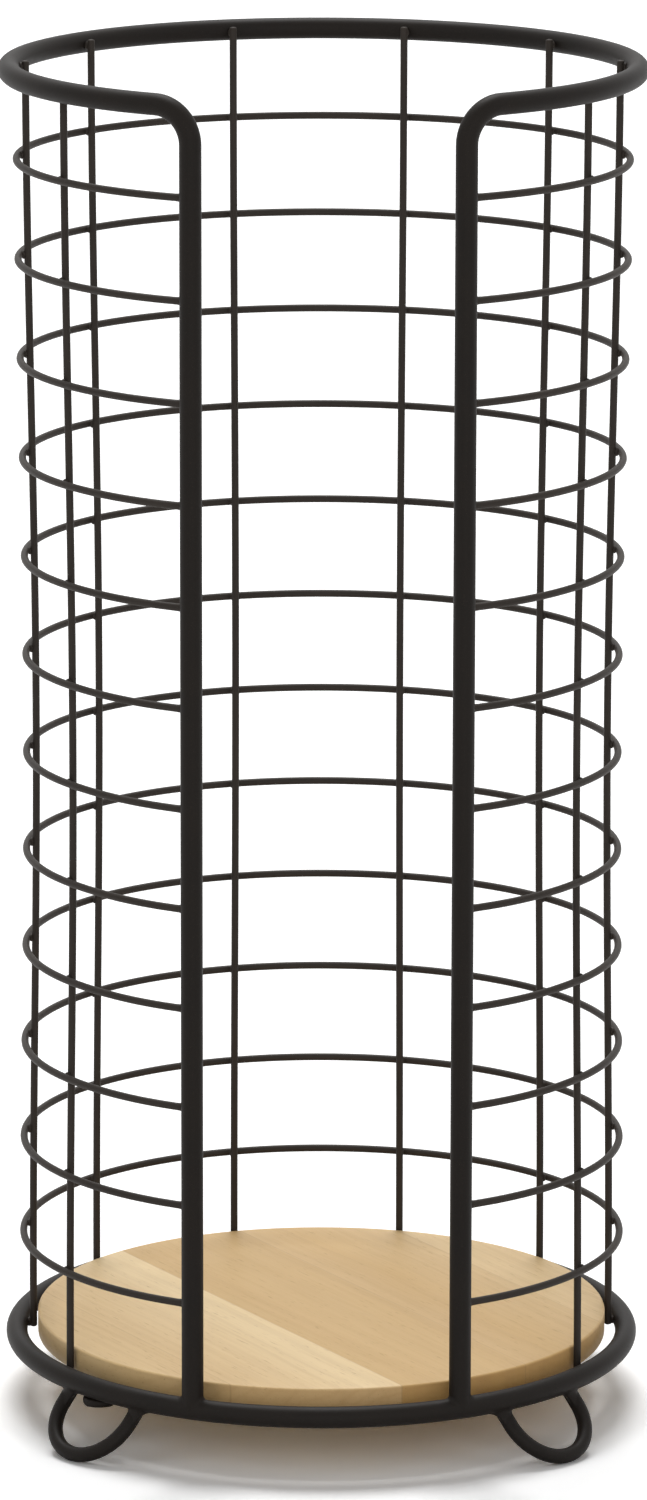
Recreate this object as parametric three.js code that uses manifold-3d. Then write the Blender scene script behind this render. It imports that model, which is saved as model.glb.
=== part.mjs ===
// Freestanding toilet paper holder: a C-shaped wire cage on four looped wire feet, with a wood disc as floor.
// Millimetres, +Z up. The open front faces -Y. The origin is on the floor, under the middle of the cage.
// Heights inside the cage are measured from the centreline of the base ring.
// Azimuths are measured round the cage from the middle of the open front, positive towards +X.
import * as THREE from 'three';
import { mergeVertices } from 'three/addons/utils/BufferGeometryUtils.js';
import Module from 'manifold-3d';

const wasm = await Module();
wasm.setup();

const degree = Math.PI / 180;
const fullTurn = 2 * Math.PI;

// Frame: the main wire makes the two front posts and the top ring in one piece, and stands on the base ring.
const ringDiameter = 150;
const frameWire = 5.2;
const cageHeight = 312;
const postAzimuth = 25.1 * degree;
const bendRadius = 9;

// The clear space left between neighbours that are welded, screwed or laid together.
const fit = 0.3;

// Hoops and rods of thin wire. The hoops lie outside the rods, evenly spaced between the top and bottom
// ones, and are drawn in by the waist at mid height.
const thinWire = 1.8;
const hoopCount = 12;
const topHoopDrop = 21.5;
const bottomHoopRise = 25.4;
const waist = 1.6;
const rodCount = 8;
const rodLap = 1.1;

// Feet: each is a loop of wire with two straight legs and a half round, and leans outwards from the base
// ring. The set of four is turned a little round the cage.
const footWire = 3.6;
const footHalfWidth = 11.6;
const footLeg = 5.4;
const footLean = 44 * degree;
const footAzimuth = 45 * degree;
const footTurn = -1.3 * degree;

// Floor: a wood disc inside the rods, its underside a little below the base ring's centreline.
const discPlay = 0.5;
const discDrop = 0.5;
const discThickness = 6;
const discEdgeRound = 0.6;

// Tabs: flat round-ended straps under the ring, stepped up to carry the disc.
const tabWidth = 8.7;
const tabThickness = 1.8;
const tabOverhang = 1.3;
const tabStepRun = 4;
const tabInset = 17;
const tabAzimuth = -48.5 * degree;

// Screws: one up through each tab into the disc.
const screwDiameter = 3;
const screwHeadDiameter = 6.4;
const screwHeadHeight = 2.2;
const screwCover = 1.5;
const screwTip = 1.2;
const recessLength = 3.6;
const recessWidth = 0.9;
const recessDepth = 1.2;

// Facets
const frameSides = 12;
const thinSides = 8;
const footSides = 10;
const bendSteps = 6;
const ringStepsPerBay = 5;
const hoopStepsPerBay = 4;
const baseRingSteps = 60;
const rodSteps = 10;
const footSteps = 12;
const discSteps = 64;
const discEdgeSteps = 2;
const roundEndSteps = 8;
const screwSteps = 16;
const headSteps = 4;

// Sizes that follow from those above
const ringRadius = ringDiameter / 2;
const rodRadius = ringRadius - frameWire / 2 - fit - thinWire / 2;
const hoopRadius = rodRadius + thinWire + fit;
const bayAngle = (fullTurn - 2 * postAzimuth) / (rodCount + 1);
const hoopPitch = (cageHeight - topHoopDrop - bottomHoopRise) / (hoopCount - 1);
const discRadius = rodRadius - thinWire / 2 - discPlay;
const discBottom = -discDrop;
const tabTop = discBottom - fit;
const screwPoint = discBottom + discThickness - screwCover;
const screwRadius = ringRadius - tabInset;
const screwHoleDiameter = screwDiameter + 2 * fit;
const footSetIn = frameWire / 2;
const footReach = footLeg + footHalfWidth;
const lift = footSetIn * Math.sin(footLean) + footReach * Math.cos(footLean) + footWire / 2;
const footAzimuths = {
  front_left: footTurn - footAzimuth,
  front_right: footTurn + footAzimuth,
  rear_right: footTurn + Math.PI - footAzimuth,
  rear_left: footTurn + footAzimuth - Math.PI,
};
const tabAzimuths = {
  front_left: tabAzimuth,
  rear_right: tabAzimuth + Math.PI,
};

const bronze = new THREE.MeshStandardMaterial({ color: 0x34302e, roughness: 0.5, metalness: 0.35 });
const wood = new THREE.MeshStandardMaterial({ color: 0xd8bb88, roughness: 0.6, metalness: 0 });
const zinc = new THREE.MeshStandardMaterial({ color: 0xb9bcbe, roughness: 0.35, metalness: 0.9 });

// A wire's centreline through given points. Its steps end at the points, so bends are fine, straights plain.
class WirePath extends THREE.Curve {
  constructor(points) {
    super();
    this.points = points;
    this.runs = points.slice(1).map((point, i) => point.clone().sub(points[i]).normalize());
  }

  getUtoTmapping(u) {
    return u;
  }

  getPoint(t, target = new THREE.Vector3()) {
    const place = t * this.runs.length;
    const index = Math.min(Math.floor(place), this.runs.length - 1);
    return target.lerpVectors(this.points[index], this.points[index + 1], place - index);
  }

  getTangent(t, target = new THREE.Vector3()) {
    const index = Math.round(t * this.runs.length);
    const before = this.runs[Math.max(index - 1, 0)];
    const after = this.runs[Math.min(index, this.runs.length - 1)];
    return target.addVectors(before, after).normalize();
  }
}

function wireGeometry(points, diameter, sides) {
  const corners = Array.from({ length: sides }, (_, i) => {
    const angle = (i / sides) * fullTurn;
    return new THREE.Vector2(Math.cos(angle), Math.sin(angle)).multiplyScalar(diameter / 2);
  });
  const section = new THREE.Shape(corners);
  return new THREE.ExtrudeGeometry(section, { steps: points.length - 1, extrudePath: new WirePath(points) });
}

function toSolid(geometry) {
  const plain = geometry.clone();
  plain.deleteAttribute('normal');
  plain.deleteAttribute('uv');
  const merged = mergeVertices(plain);
  return new wasm.Manifold(new wasm.Mesh({
    numProp: 3,
    vertProperties: new Float32Array(merged.attributes.position.array),
    triVerts: new Uint32Array(merged.index.array),
  }));
}

function toGeometry(solid) {
  const mesh = solid.getMesh();
  const indexed = new THREE.BufferGeometry();
  indexed.setAttribute('position', new THREE.BufferAttribute(new Float32Array(mesh.vertProperties), 3));
  indexed.setIndex(new THREE.BufferAttribute(new Uint32Array(mesh.triVerts), 1));
  const geometry = indexed.toNonIndexed();
  geometry.computeVertexNormals();
  return geometry;
}

function cylinderAlongZ(diameter, bottom, top, steps) {
  const radius = diameter / 2;
  const geometry = new THREE.CylinderGeometry(radius, radius, top - bottom, steps);
  geometry.rotateX(Math.PI / 2);
  geometry.translate(0, 0, (top + bottom) / 2);
  return geometry;
}

function boxBetween(low, high) {
  const size = high.clone().sub(low);
  const middle = low.clone().add(high).multiplyScalar(1 / 2);
  const geometry = new THREE.BoxGeometry(size.x, size.y, size.z);
  geometry.translate(middle.x, middle.y, middle.z);
  return geometry;
}

function onCage(azimuth, radius, z) {
  return new THREE.Vector3(radius * Math.sin(azimuth), -radius * Math.cos(azimuth), z);
}

// How far the thin wires are drawn in at a height: nothing at the rings, the waist half way up.
function drawnIn(z) {
  return waist * Math.sin((Math.PI * z) / cageHeight) ** 2;
}

// One wire from the foot of one post, round its bend, along the top ring and down the other post.
function mainFrameWire() {
  const postBottom = frameWire / 2 + fit;
  const bendReach = bendRadius / ringRadius;
  const half = [onCage(postAzimuth, ringRadius, postBottom)];
  for (let i = 0; i <= bendSteps; i++) {
    const turn = ((i / bendSteps) * Math.PI) / 2;
    const azimuth = postAzimuth + bendReach * (1 - Math.cos(turn));
    half.push(onCage(azimuth, ringRadius, cageHeight - bendRadius * (1 - Math.sin(turn))));
  }
  const ringSteps = (rodCount + 1) * ringStepsPerBay;
  const bent = postAzimuth + bendReach;
  for (let i = 1; i <= ringSteps / 2; i++) {
    const azimuth = postAzimuth + (i * bayAngle) / ringStepsPerBay;
    if (azimuth > bent + bayAngle / (2 * ringStepsPerBay)) half.push(onCage(azimuth, ringRadius, cageHeight));
  }
  const otherHalf = half.map((point) => new THREE.Vector3(-point.x, point.y, point.z)).reverse();
  if (half.at(-1).distanceTo(otherHalf[0]) < fit) otherHalf.shift();
  return wireGeometry([...half, ...otherHalf], frameWire, frameSides);
}

function baseRing() {
  return new THREE.TorusGeometry(ringRadius, frameWire / 2, frameSides, baseRingSteps);
}

// A hoop butts the sides of the two posts, and eases in to its drawn-in radius over the first bay.
function hoop(z) {
  const steps = (rodCount + 1) * hoopStepsPerBay;
  const endInset = Math.asin((frameWire / 2 + fit) / ringRadius);
  const points = [];
  for (let i = 0; i <= steps; i++) {
    const plain = postAzimuth + (i * bayAngle) / hoopStepsPerBay;
    const azimuth = Math.min(Math.max(plain, postAzimuth + endInset), fullTurn - postAzimuth - endInset);
    const fromPost = Math.min(i, steps - i) / hoopStepsPerBay;
    const ease = Math.sin((Math.min(fromPost, 1) * Math.PI) / 2) ** 2;
    points.push(onCage(azimuth, hoopRadius - drawnIn(z) * ease, z));
  }
  return wireGeometry(points, thinWire, thinSides);
}

// A rod laps both rings a little, on their inner side, and bows in with the hoops.
function rod(azimuth) {
  const points = [];
  for (let i = 0; i <= rodSteps; i++) {
    const z = -rodLap + (i / rodSteps) * (cageHeight + 2 * rodLap);
    points.push(onCage(azimuth, rodRadius - drawnIn(z), z));
  }
  return wireGeometry(points, thinWire, thinSides);
}

// The foot, tab and screw are made with +X pointing out from the cage, and are turned to their azimuth later.
function foot() {
  // The legs stand under the ring's wire this far out, and stop where their inner side is clear of it.
  const seat = Math.sqrt(ringRadius ** 2 - footHalfWidth ** 2);
  const innerSide = Math.max(0, footSetIn - footWire / 2);
  const legTop = Math.sqrt((frameWire / 2 + fit) ** 2 - innerSide ** 2);
  const place = (across, down) => new THREE.Vector3(
    seat - footSetIn * Math.cos(footLean) + down * Math.sin(footLean),
    across,
    -footSetIn * Math.sin(footLean) - down * Math.cos(footLean),
  );
  const points = [place(-footHalfWidth, legTop)];
  for (let i = 0; i <= footSteps; i++) {
    const turn = (i / footSteps) * Math.PI;
    const down = footReach - footHalfWidth * (1 - Math.sin(turn));
    points.push(place(-footHalfWidth * Math.cos(turn), down));
  }
  points.push(place(footHalfWidth, legTop));
  return wireGeometry(points, footWire, footSides);
}

// The disc's lower and upper edges are eased, and each screw has a blind hole from below.
function woodDisc() {
  const profile = [new THREE.Vector2(0, 0)];
  const corners = [[discEdgeRound, -Math.PI / 2], [discThickness - discEdgeRound, 0]];
  for (const [height, start] of corners) {
    for (let i = 0; i <= discEdgeSteps; i++) {
      const turn = start + ((i / discEdgeSteps) * Math.PI) / 2;
      const x = discRadius - discEdgeRound * (1 - Math.cos(turn));
      profile.push(new THREE.Vector2(x, height + discEdgeRound * Math.sin(turn)));
    }
  }
  profile.push(new THREE.Vector2(0, discThickness));
  const blank = new THREE.LatheGeometry(profile, discSteps);
  blank.rotateX(Math.PI / 2);
  blank.translate(0, 0, discBottom);
  let solid = toSolid(blank);
  for (const azimuth of Object.values(tabAzimuths)) {
    const centre = onCage(azimuth, screwRadius, 0);
    const pilot = cylinderAlongZ(screwHoleDiameter, -discThickness, screwPoint + fit, screwSteps);
    pilot.translate(centre.x, centre.y, 0);
    solid = solid.subtract(toSolid(pilot));
  }
  return toGeometry(solid);
}

// A strap bent to its side view, cut to its plan with two round ends, and bored for its screw.
function tab() {
  const lowTop = -frameWire / 2 - fit;
  const outerEnd = ringRadius + tabOverhang;
  const innerEnd = screwRadius - tabWidth / 2;
  const stepOuter = ringRadius - frameWire / 2 - fit;
  const stepInner = stepOuter - tabStepRun;
  const top = [[outerEnd, lowTop], [stepOuter, lowTop], [stepInner, tabTop], [innerEnd, tabTop]];
  const bottom = top.map(([x, z]) => [x, z - tabThickness]).reverse();
  const side = new THREE.Shape([...top, ...bottom].map(([x, z]) => new THREE.Vector2(x, z)));
  const strap = new THREE.ExtrudeGeometry(side, { depth: tabWidth, bevelEnabled: false });
  strap.rotateX(Math.PI / 2);
  strap.translate(0, tabWidth / 2, 0);

  const outline = new THREE.Shape();
  outline.absarc(outerEnd - tabWidth / 2, 0, tabWidth / 2, -Math.PI / 2, Math.PI / 2, false);
  outline.absarc(screwRadius, 0, tabWidth / 2, Math.PI / 2, (3 * Math.PI) / 2, false);
  const depth = frameWire + 2 * tabThickness;
  const planOptions = { depth, bevelEnabled: false, curveSegments: roundEndSteps };
  const plan = new THREE.ExtrudeGeometry(outline, planOptions);
  plan.translate(0, 0, -depth);

  const hole = cylinderAlongZ(screwHoleDiameter, -depth, depth, screwSteps);
  hole.translate(screwRadius, 0, 0);
  return toGeometry(toSolid(strap).intersect(toSolid(plan)).subtract(toSolid(hole)));
}

// A domed head below the tab, with a cross recess, and a plain shank with a point.
function screw() {
  const headTop = tabTop - tabThickness - fit;
  const headBottom = headTop - screwHeadHeight;
  const profile = [];
  for (let i = 0; i <= headSteps; i++) {
    const turn = ((i / headSteps) * Math.PI) / 2;
    const x = (screwHeadDiameter / 2) * Math.sin(turn);
    profile.push(new THREE.Vector2(x, headTop - screwHeadHeight * Math.cos(turn)));
  }
  profile.push(new THREE.Vector2(screwDiameter / 2, headTop));
  profile.push(new THREE.Vector2(screwDiameter / 2, screwPoint - screwTip));
  profile.push(new THREE.Vector2(0, screwPoint));
  const blank = new THREE.LatheGeometry(profile, screwSteps);
  blank.rotateX(Math.PI / 2);
  let solid = toSolid(blank);
  for (const [x, y] of [[recessLength, recessWidth], [recessWidth, recessLength]]) {
    const low = new THREE.Vector3(-x / 2, -y / 2, headBottom - recessDepth);
    const high = new THREE.Vector3(x / 2, y / 2, headBottom + recessDepth);
    solid = solid.subtract(toSolid(boxBetween(low, high)));
  }
  const geometry = toGeometry(solid);
  geometry.translate(screwRadius, 0, 0);
  return geometry;
}

const holder = new THREE.Group();
const cage = new THREE.Group();
cage.position.z = lift;
holder.add(cage);

function add(name, geometry, material, azimuth = null) {
  const mesh = new THREE.Mesh(geometry, material);
  mesh.name = name;
  if (azimuth !== null) mesh.rotation.z = azimuth - Math.PI / 2;
  cage.add(mesh);
}

add('main_frame_wire', mainFrameWire(), bronze);
add('base_ring', baseRing(), bronze);
for (let i = 0; i < hoopCount; i++) {
  const z = cageHeight - topHoopDrop - i * hoopPitch;
  add(`hoop_wire_${String(i + 1).padStart(2, '0')}`, hoop(z), bronze);
}
for (let i = 1; i <= rodCount; i++) {
  add(`vertical_rod_${i}`, rod(postAzimuth + i * bayAngle), bronze);
}
for (const [corner, azimuth] of Object.entries(footAzimuths)) {
  add(`looped_foot_${corner}`, foot(), bronze, azimuth);
}
add('wood_base_disc', woodDisc(), wood);
for (const [corner, azimuth] of Object.entries(tabAzimuths)) {
  add(`disc_tab_${corner}`, tab(), bronze, azimuth);
  add(`disc_screw_${corner}`, screw(), zinc, azimuth);
}

export default holder;
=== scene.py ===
"""Looks of a freestanding toilet paper holder.

A cage of dark coated wire on looped feet, with a glued wood disc as its floor. Metres, +Z up, with the
open front towards -Y. Azimuths go round the cage from the middle of the open front, positive towards +X.
The cage's main sizes are read from the boxes of the solids. The smaller ones are fields of the classes,
with the same values as in the solids where those have them.
"""

import logging
import math
from collections.abc import Callable, Mapping, Sequence
from dataclasses import dataclass
from enum import Enum
from functools import partial

import bmesh
import bpy
from mathutils import Euler, Matrix, Vector


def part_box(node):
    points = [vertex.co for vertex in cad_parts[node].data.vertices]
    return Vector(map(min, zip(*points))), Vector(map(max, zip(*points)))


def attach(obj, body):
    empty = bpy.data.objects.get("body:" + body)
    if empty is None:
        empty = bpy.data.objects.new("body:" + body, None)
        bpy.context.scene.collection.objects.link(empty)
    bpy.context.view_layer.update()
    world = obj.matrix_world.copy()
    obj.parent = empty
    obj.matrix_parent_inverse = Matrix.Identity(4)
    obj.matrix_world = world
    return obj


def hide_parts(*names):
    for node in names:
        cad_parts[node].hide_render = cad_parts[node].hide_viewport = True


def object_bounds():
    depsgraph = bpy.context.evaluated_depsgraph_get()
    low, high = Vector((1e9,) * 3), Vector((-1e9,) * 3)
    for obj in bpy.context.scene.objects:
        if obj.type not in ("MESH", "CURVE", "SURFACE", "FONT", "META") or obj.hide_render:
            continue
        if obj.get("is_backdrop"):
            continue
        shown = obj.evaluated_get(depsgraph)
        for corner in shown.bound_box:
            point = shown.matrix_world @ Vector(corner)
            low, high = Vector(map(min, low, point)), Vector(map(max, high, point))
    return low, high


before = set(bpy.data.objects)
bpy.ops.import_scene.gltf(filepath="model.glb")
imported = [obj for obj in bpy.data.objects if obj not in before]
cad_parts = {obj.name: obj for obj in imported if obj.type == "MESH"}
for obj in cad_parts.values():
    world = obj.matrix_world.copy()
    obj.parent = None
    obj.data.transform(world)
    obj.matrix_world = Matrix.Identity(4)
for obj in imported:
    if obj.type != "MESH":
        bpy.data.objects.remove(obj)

MM = 0.001
DEGREE = math.pi / 180
BODY = "root"
CREASE = 35 * DEGREE
MERGE_DISTANCE = 0.001 * MM
END_BUNCHING = 1.5
END_CLEARANCE = 1.1
NOISE_MIDDLE = 0.5
Colour = tuple[float, float, float]
Spot = tuple[float, float, float]
log = logging.getLogger("holder")


class Sum(Enum):
    """The sums that a Math node does here."""

    ADD = "ADD"
    SUBTRACT = "SUBTRACT"
    MULTIPLY = "MULTIPLY"
    DIVIDE = "DIVIDE"
    POWER = "POWER"
    LARGER = "MAXIMUM"
    SMALLER = "MINIMUM"
    SINE = "SINE"
    BOUNCE = "PINGPONG"
    WHOLE = "FLOOR"


class Slot(Enum):
    """The record's material slots."""

    COATING = "frame_coating"
    WOOD = "disc_wood"
    STEEL = "screw_steel"


class Corner(Enum):
    """The corners of the cage, as the record's nodes name them."""

    FRONT_LEFT = "front_left"
    FRONT_RIGHT = "front_right"
    REAR_RIGHT = "rear_right"
    REAR_LEFT = "rear_left"


class InputKind(Enum):
    """The kinds of input that a Geometry Nodes tree takes."""

    NUMBER = "NodeSocketFloat"
    COUNT = "NodeSocketInt"
    FINISH = "NodeSocketMaterial"
    PART = "NodeSocketObject"


class Ray(Enum):
    """The kinds of ray that see the background."""

    CAMERA = "Is Camera Ray"
    GLOSS = "Is Glossy Ray"
    GLASS = "Is Transmission Ray"


class Value:
    """An output of a node tree that can be summed like a number."""

    def __init__(self, graph: "Graph", socket: bpy.types.NodeSocket) -> None:
        """Wraps an output of a graph's tree."""
        self.graph = graph
        self.socket = socket

    def __add__(self, other: "Term") -> "Value":
        """Adds a number or an output."""
        return self.graph.sum(Sum.ADD, self, other)

    def __radd__(self, other: "Term") -> "Value":
        """Adds this to a number."""
        return self.graph.sum(Sum.ADD, other, self)

    def __sub__(self, other: "Term") -> "Value":
        """Takes a number or an output away."""
        return self.graph.sum(Sum.SUBTRACT, self, other)

    def __rsub__(self, other: "Term") -> "Value":
        """Takes this away from a number."""
        return self.graph.sum(Sum.SUBTRACT, other, self)

    def __mul__(self, other: "Term") -> "Value":
        """Multiplies by a number or an output."""
        return self.graph.sum(Sum.MULTIPLY, self, other)

    def __rmul__(self, other: "Term") -> "Value":
        """Multiplies a number by this."""
        return self.graph.sum(Sum.MULTIPLY, other, self)

    def __truediv__(self, other: "Term") -> "Value":
        """Divides by a number or an output."""
        return self.graph.sum(Sum.DIVIDE, self, other)

    def __rtruediv__(self, other: "Term") -> "Value":
        """Divides a number by this."""
        return self.graph.sum(Sum.DIVIDE, other, self)

    def __pow__(self, power: "Term") -> "Value":
        """Raises this to a power."""
        return self.graph.sum(Sum.POWER, self, power)

    def kept_within_one(self) -> "Value":
        """Limits this to the range from 0 to 1."""
        return self.graph.sum(Sum.SMALLER, self.graph.sum(Sum.LARGER, self, 0.0), 1.0)

    def above(self, start: float, gain: float) -> "Value":
        """Gives how far this is above a number, times a gain and limited to the range from 0 to 1."""
        return ((self - start) * gain).kept_within_one()


Term = Value | float
Tone = Value | Colour


class Graph:
    """A node tree that is being built."""

    def __init__(self, tree: bpy.types.NodeTree) -> None:
        """Starts on a tree, whose own nodes are cleared."""
        self.tree = tree
        self.tree.nodes.clear()

    def node(
        self,
        kind: str,
        settings: Mapping[str, object] | None = None,
        inputs: Mapping[str | int, object] | None = None,
    ) -> bpy.types.Node:
        """Adds a node.

        Args:
            kind: The node's type.
            settings: The node's own properties, set first. The key "stops" fills a colour ramp.
            inputs: Numbers, colours or outputs for the node's inputs, by name or place.

        Returns:
            The node.
        """
        node = self.tree.nodes.new(kind)
        for name, setting in (settings or {}).items():
            if name == "stops":
                self._fill_ramp(node.color_ramp, setting)
            else:
                setattr(node, name, setting)
        for key, term in (inputs or {}).items():
            if isinstance(term, Value):
                self.tree.links.new(term.socket, node.inputs[key])
            else:
                node.inputs[key].default_value = term
        return node

    def value(
        self,
        kind: str,
        settings: Mapping[str, object] | None = None,
        inputs: Mapping[str | int, object] | None = None,
        output: str | int = 0,
    ) -> Value:
        """Adds a node, as the method node does, and gives one of its outputs by its name or place."""
        return Value(self, self.node(kind, settings, inputs).outputs[output])

    def sum(self, operation: Sum, *terms: Term) -> Value:
        """Adds a Math node that does a sum on numbers or outputs."""
        return self.value("ShaderNodeMath", {"operation": operation.value}, dict(enumerate(terms)))

    def chance(self, least: float, most: float, seed: Value) -> Value:
        """Gives each point its own random number between two limits."""
        inputs = {2: least, 3: most, "Seed": seed}
        return self.value("FunctionNodeRandomValue", {"data_type": "FLOAT"}, inputs, 1)

    def vector(self, x: Term = 0.0, y: Term = 0.0, z: Term = 0.0) -> Value:
        """Joins three numbers into a vector."""
        return self.value("ShaderNodeCombineXYZ", {}, {0: x, 1: y, 2: z})

    def spin(self, angle: Term) -> Value:
        """Gives a rotation round the Z axis."""
        return self.value("FunctionNodeEulerToRotation", {}, {0: self.vector(z=angle)})

    def colours(self, share: Term, first: Tone, second: Tone) -> Value:
        """Mixes two colours.

        Args:
            share: How much of the second colour is mixed in, from 0 to 1.
            first: A colour.
            second: A colour.

        Returns:
            The mixed colour.
        """
        tones = [tone if isinstance(tone, Value) else (*tone, 1.0) for tone in (first, second)]
        inputs = {0: share, 6: tones[0], 7: tones[1]}
        return self.value("ShaderNodeMix", {"data_type": "RGBA"}, inputs, 2)

    def noise(self, place: Value, size: float, detail: float = 2.0, roughness: float = 0.5) -> Value:
        """Adds cloudy noise from 0 to 1, with patches of about a size and finer layers in them."""
        inputs = {"Vector": place, "Scale": 1 / size, "Detail": detail, "Roughness": roughness}
        return self.value("ShaderNodeTexNoise", {}, inputs)

    def ramp(self, share: Value, stops: Sequence[tuple[float, Colour]]) -> Value:
        """Turns a number from 0 to 1 into a colour, by the places and colours of its stops."""
        return self.value("ShaderNodeValToRGB", {"stops": stops}, {0: share})

    def bump(self, height: Value, depth: float, strength: float) -> Value:
        """Turns small relief, about from 0 to 1 and as deep as the depth, into the surface's normal."""
        inputs = {"Strength": strength, "Distance": depth, "Height": height}
        return self.value("ShaderNodeBump", {}, inputs)

    def seen(self) -> Value:
        """Tells where a surface or the world is looked at, in place of lighting something.

        Returns:
            1 for a ray of any kind in Ray, and 0 for any other ray.
        """
        path = self.node("ShaderNodeLightPath")
        met = 0.0
        for ray in Ray:
            met = met + Value(self, path.outputs[ray.value])
        return met.kept_within_one()

    @staticmethod
    def _fill_ramp(ramp: bpy.types.ColorRamp, stops: Sequence[tuple[float, Colour]]) -> None:
        """Gives a colour ramp its stops.

        Args:
            ramp: The new ramp.
            stops: Places from 0 to 1, and their colours.
        """
        while len(ramp.elements) < len(stops):
            ramp.elements.new(1.0)
        for element, (place, colour) in zip(ramp.elements, stops):
            element.position = place
            element.color = (*colour, 1.0)


def linear(red: int, green: int, blue: int) -> Colour:
    """Turns a screen colour into the light that it stands for.

    Args:
        red: The red, from 0 to 255.
        green: The green.
        blue: The blue.

    Returns:
        The light, from 0 to 1 a channel.
    """
    offset = 0.055
    power = 2.4
    return tuple(((c / 255 + offset) / (1 + offset)) ** power for c in (red, green, blue))


class Finish:
    """A procedural material, made once and shared by its pieces."""

    name: str
    slot: Slot | None = None

    def material(self) -> bpy.types.Material:
        """Gives the material, and makes it the first time.

        Returns:
            The material.
        """
        found = bpy.data.materials.get(self.name)
        if found:
            return found
        material = bpy.data.materials.new(self.name)
        material.use_nodes = True
        graph = Graph(material.node_tree)
        surface = self.surface(graph, graph.value("ShaderNodeTexCoord", output="Object"))
        graph.node("ShaderNodeOutputMaterial", {}, {"Surface": surface})
        return material

    def surface(self, graph: Graph, place: Value) -> Value:
        """Builds the shader from the object's own coordinates, in metres."""
        raise NotImplementedError


@dataclass(frozen=True)
class PowderCoat(Finish):
    """Dark bronze powder coat: satin, with a faint orange peel and a fine dust of lighter grains.

    An edge holds the noise at which a pattern starts, and how fast it grows above that.
    """

    name: str = "dark_bronze_powder_coat"
    slot: Slot = Slot.COATING
    dark: Colour = linear(21, 18, 16)
    light: Colour = linear(33, 28, 24)
    grain_colour: Colour = linear(76, 65, 56)
    roughness: float = 0.52
    roughness_play: float = 0.10
    gloss: float = 0.12
    cloud_size: float = 14 * MM
    peel_size: float = 1.1 * MM
    grain_size: float = 0.22 * MM
    grain_edge: tuple[float, float] = (0.62, 6.0)
    grain_share: float = 0.35
    grain_relief: float = 0.25
    relief_height: float = 0.03 * MM
    relief_strength: float = 0.5

    def surface(self, graph: Graph, place: Value) -> Value:
        """Builds the shader of the coating.

        Args:
            graph: The material's tree.
            place: The object's own coordinates, in metres.

        Returns:
            The shader.
        """
        cloud = graph.noise(place, self.cloud_size, detail=3.0)
        peel = graph.noise(place, self.peel_size, detail=1.0)
        grain = graph.noise(place, self.grain_size)
        specks = grain.above(*self.grain_edge)
        tone = graph.colours(cloud, self.dark, self.light)
        tone = graph.colours(specks * self.grain_share, tone, self.grain_colour)
        relief = peel + grain * self.grain_relief
        inputs = {
            "Base Color": tone,
            "Roughness": self.roughness + (cloud + specks - NOISE_MIDDLE) * self.roughness_play,
            "Metallic": 0.0,
            "Specular IOR Level": self.gloss,
            "Normal": graph.bump(relief, self.relief_height, self.relief_strength),
        }
        return graph.value("ShaderNodeBsdfPrincipled", {}, inputs)


@dataclass(frozen=True)
class PaintedLightThinCoat(PowderCoat):
    """The same coating on the thin wires, painted lighter and browner: painted light that stands in for
    warm light bounced onto them.
    """

    name: str = "thin_bronze_powder_coat"
    # Lighter, browner copies of the coat's colours: painted light.
    dark: Colour = linear(46, 41, 37)
    light: Colour = linear(62, 56, 51)


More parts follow.
